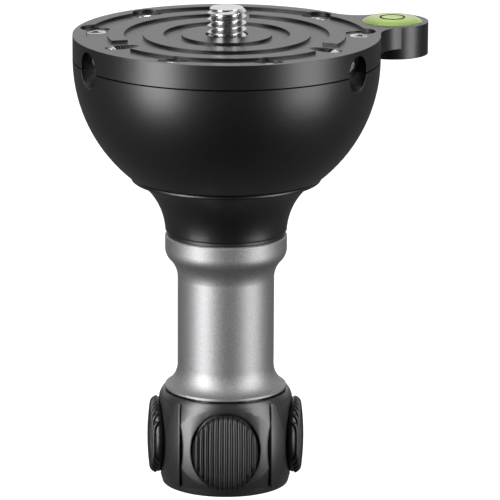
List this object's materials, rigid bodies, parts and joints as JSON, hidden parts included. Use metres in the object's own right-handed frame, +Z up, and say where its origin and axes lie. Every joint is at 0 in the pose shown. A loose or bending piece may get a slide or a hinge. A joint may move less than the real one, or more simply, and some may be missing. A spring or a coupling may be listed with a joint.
{
  "type": "levelling base",
  "caption": "Half-ball levelling base with a threaded head stud, side bubble level, flared clamp collar, handle sleeve and a knob that draws the clamp up under a bowl.",
  "frame": {"origin": "on the axis, at the flat foot of the knob", "axes": "+Z up along the axis towards the head stud, +X from the axis towards the bubble level"},
  "size_m": [0.0906, 0.075, 0.1195],
  "materials": {
    "plate": "satin black anodised",
    "ball": "satin black anodised",
    "collar": "satin black anodised",
    "sleeve": "bead-blasted grey anodised",
    "stud": "bright plated",
    "fastener": "bright steel",
    "rod": "zinc plated",
    "bush": "natural nylon",
    "knob": "fine moulded texture",
    "insert": "turned",
    "grip": "matte ribbed",
    "vial_clear": "clear acrylic",
    "vial_back": "moulded",
    "vial_liquid": "clear yellow-green fluid",
    "vial_ink": "printed"
  },
  "bodies": {
    "head": {"top_plate": "plate", "half_ball": "ball", "head_stud": "stud", "stud_nut": "fastener", "plate_screws": "fastener", "vial_cup": "vial_clear", "vial_base": "vial_back", "vial_fluid": "vial_liquid", "vial_mark": "vial_ink", "draw_rod": "rod", "rod_washer": "fastener"},
    "collar": {"clamp_collar": "collar", "slip_ring": "fastener"},
    "sleeve": {"handle_sleeve": "sleeve", "upper_bush": "bush", "lower_bush": "bush"},
    "knob": {"lock_knob": "knob", "knob_insert": "insert", "knob_washer": "fastener", "grip_pad_a": "grip", "grip_pad_b": "grip", "grip_pad_c": "grip", "grip_pad_d": "grip"},
    "lock_a": {"lock_screw_a": "fastener"},
    "lock_b": {"lock_screw_b": "fastener"},
    "lock_c": {"lock_screw_c": "fastener"}
  },
  "joints": [
    {"name": "knob_turn", "type": "hinge", "parent": "collar", "child": "knob", "pos_m": [0, 0, 0], "axis": [0, 0, -1], "range_deg": [0, 2400]},
    {"name": "clamp_travel", "type": "slide", "parent": "head", "child": "collar", "axis": [0, 0, -1], "range_m": [0, 0.01]},
    {"name": "sleeve_spin", "type": "hinge", "parent": "collar", "child": "sleeve", "pos_m": [0, 0, 0.04], "axis": [0, 0, 1], "continuous": true},
    {"name": "lock_a_travel", "type": "slide", "parent": "head", "child": "lock_a", "axis": [-0.3801, -0.7969, 0.4695], "range_m": [0, 0.003]},
    {"name": "lock_b_travel", "type": "slide", "parent": "head", "child": "lock_b", "axis": [0.8802, 0.0693, 0.4695], "range_m": [0, 0.003]},
    {"name": "lock_c_travel", "type": "slide", "parent": "head", "child": "lock_c", "axis": [-0.5001, 0.7277, 0.4695], "range_m": [0, 0.003]}
  ],
  "couplings": [
    {"joint": "clamp_travel", "follows": "knob_turn", "m_per_rad": 0.00023873}
  ]
}
